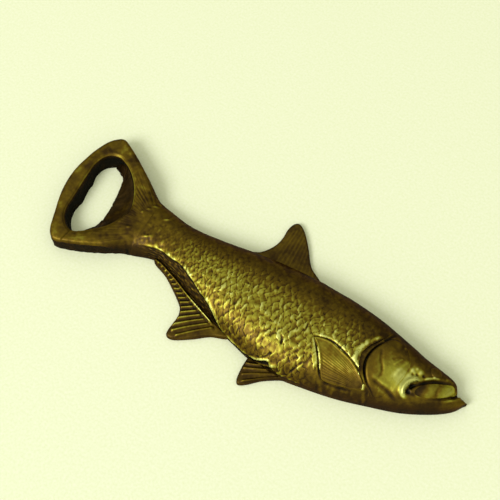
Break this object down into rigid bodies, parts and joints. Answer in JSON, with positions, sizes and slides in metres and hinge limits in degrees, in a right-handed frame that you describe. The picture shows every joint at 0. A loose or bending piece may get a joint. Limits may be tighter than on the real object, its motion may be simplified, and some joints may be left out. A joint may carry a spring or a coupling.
{
  "type": "bottle opener",
  "caption": "Cast metal bottle opener shaped as a fish in half relief, flat on its back, with the tail fin as the cap-lifting loop.",
  "frame": {"origin": "under the middle of the fish's bounding box, on its flat back", "axes": "+X from the tail loop towards the snout, +Y towards the dorsal fin, +Z out of the flat back towards the sculpted face"},
  "size_m": [0.1678, 0.0648, 0.0137],
  "materials": {
    "antique_brass": "sand cast, darkened in the hollows and rubbed bright on the crests"
  },
  "bodies": {
    "root": {"tail_loop": "antique_brass", "cap_lip": "antique_brass", "trunk": "antique_brass", "head": "antique_brass", "gill_cover": "antique_brass", "upper_jaw": "antique_brass", "lower_jaw": "antique_brass", "eye": "antique_brass", "pectoral_fin": "antique_brass", "pelvic_fin": "antique_brass", "anal_fin": "antique_brass", "dorsal_fin": "antique_brass"}
  },
  "joints": []
}
